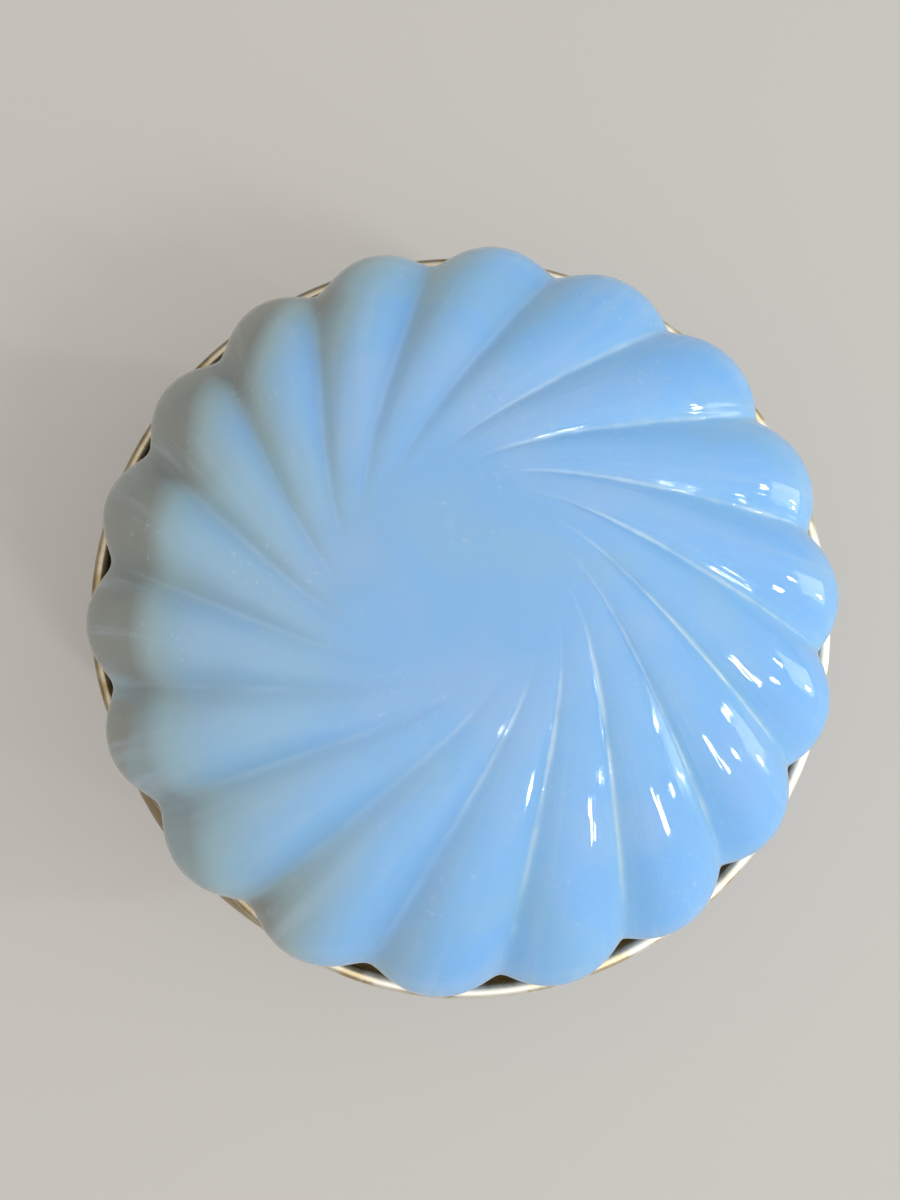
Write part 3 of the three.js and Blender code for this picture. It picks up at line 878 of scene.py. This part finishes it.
def screw_cap(material):
    """Moulded cup over the neck, with the thread inside and a small gate mark under its top."""
    under = CAP_TOP - CAP_THICKNESS
    outline = line((0, under - 0.25), (1.6, under - 0.25), 2) + line((1.6, under - 0.25), (2.0, under), 2)
    outline += line((2.0, under), (CAP_INNER - 0.6, under), 20)
    outline += arc(CAP_INNER - 0.6, under - 0.6, 0.6, 90, 0, 5)
    first = len(outline)
    outline += line((CAP_INNER, under - 0.6), (CAP_INNER, CAP_BOTTOM + 0.3), 60)[1:]
    threaded = slice(first, len(outline))
    outline += [(CAP_INNER, CAP_BOTTOM + 0.3), (CAP_INNER + 0.3, CAP_BOTTOM)]
    outline += [(CAP_OUTER - 0.4, CAP_BOTTOM)]
    outline += arc(CAP_OUTER - 0.4, CAP_BOTTOM + 0.4, 0.4, -60, 0, 3)
    outline += line((CAP_OUTER, CAP_BOTTOM + 0.6), (CAP_OUTER, CAP_TOP - 0.6), 12)
    outline += arc(CAP_OUTER - 0.6, CAP_TOP - 0.6, 0.6, 0, 90, 5)
    outline += line((CAP_OUTER - 0.6, CAP_TOP), (0, CAP_TOP), 12)[1:] + [(0, CAP_TOP)]
    radius, angle, height = turned_grid(outline, 2 * ROUND_STEPS)
    rise = thread_rise(angle[threaded], height[threaded], THREAD_LEVEL - THREAD_DROP, CAP_THREAD_START)
    radius[threaded] -= THREAD_HEIGHT * rise
    flow = brushed_flow(outline, 2 * ROUND_STEPS, fine=0.4, reach=8)
    return grid_piece("screw_cap", (radius, angle, height), material, flow=flow)


def disc_outline(radius, bottom, top, bevel, rings):
    """Outline of a flat disc with a rounded edge."""
    outline = line((0, bottom), (radius - bevel, bottom), rings)
    outline += arc(radius - bevel, bottom + bevel, bevel, -90, 0, 3)
    outline += arc(radius - bevel, top - bevel, bevel, 0, 90, 3)
    outline += line((radius - bevel, top), (0, top), rings)[1:] + [(0, top)]
    return np.array(outline)


def liner_disc(name, node, material, bevel, dent):
    """A disc of the liner. Where it presses on the jar's rim, its underside is dented by `dent`."""
    outline = disc_outline(LINER_RADIUS, level(node, False), level(node, True), bevel, 56)
    radius, angle, height = turned_grid(outline, ROUND_STEPS)
    middle = (MOUTH_RADIUS + NECK_RADIUS) / 2
    ring = 1 - smoothstep(1.0, 1.8, np.abs(radius - middle))
    underside = height < (level(node, False) + level(node, True)) / 2
    wave = 0.6 + 0.4 * np.cos(3 * angle + 0.7)
    height = height + dent * ring * wave * underside
    return grid_piece(name, (radius, angle, height), material)


def cement_bed(material, seed=4):
    """Bedding under the glass, squeezed out into a lumpy bead round its foot."""
    low, high = level("lid_cement", False), level("lid_cement", True)
    outer = DOME_FOOT_RADIUS + 1
    outline = line((CEMENT_INNER, low), (outer, low), 10)
    outline += line((outer, low), (outer, high), 6)
    outline += line((outer, high), (CEMENT_INNER, high), 16)
    outline += line((CEMENT_INNER, high), (CEMENT_INNER, low), 3)
    radius, angle, height = turned_grid(outline, ROUND_STEPS)
    rng = np.random.default_rng(seed)
    lumps = np.zeros_like(angle)
    for waves in (5, 9, 16, 29, 47):
        lumps += rng.uniform(0.3, 1) * np.cos(waves * angle + rng.uniform(0, 2 * math.pi)) / waves ** 0.4
    lumps /= np.abs(lumps).max()
    out = smoothstep(outer - 1.2, outer, radius)
    radius = radius + out * (0.45 + 0.55 * lumps)
    height = height + 0.18 * (out * smoothstep(low, high, height)) * (1 + lumps)
    return grid_piece("cement_bed", (radius, angle, height), material, closed=True)


def paper_label(material, seed=7):
    """Blank round label whose edge has lifted a little."""
    outline = disc_outline(LABEL_RADIUS, level("base_label", False), level("base_label", True), 0.05, 30)
    radius, angle, height = turned_grid(outline, ROUND_STEPS)
    rng = np.random.default_rng(seed)
    curl = smoothstep(LABEL_RADIUS - 4, LABEL_RADIUS, radius)
    wave = sum(np.cos(k * angle + rng.uniform(0, 6)) / k for k in (2, 3, 5))
    height = height - 0.12 * curl * (1 + np.tanh(wave))
    values = {"edge": smoothstep(LABEL_RADIUS - 5, LABEL_RADIUS, radius)}
    return grid_piece("paper_label", (radius, angle, height), material, values=values)


# ---------------------------------------------------------------- scene

def place(piece, node, body, slot):
    """Lets a piece stand for a CAD node, on its body. slot is not used."""
    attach(piece, body)
    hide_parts(node)


add_camera()
add_floor()
add_lights()
place(jar(opal_glass("opal_glass_jar")), "jar_body", "jar", "opal_glass_jar")
place(paper_label(label_paper()), "base_label", "jar", "label_paper")
facing = liner_disc("vinyl_facing", "liner_facing", liner_vinyl(), 0.08, 0.15)
place(facing, "liner_facing", "liner", "liner_vinyl")
board = liner_disc("board_backing", "liner_board", pulpboard(), 0.15, 0.1)
place(board, "liner_board", "liner", "pulpboard")
place(screw_cap(cap_plastic()), "inner_cap", "lid", "cap_plastic")
place(gilt_shell(gilt_metal()), "lid_shell", "lid", "gilt_metal")
place(cement_bed(cement()), "lid_cement", "lid", "cement")
place(lid_dome(opal_glass("opal_glass_lid")), "lid_dome", "lid", "opal_glass_lid")
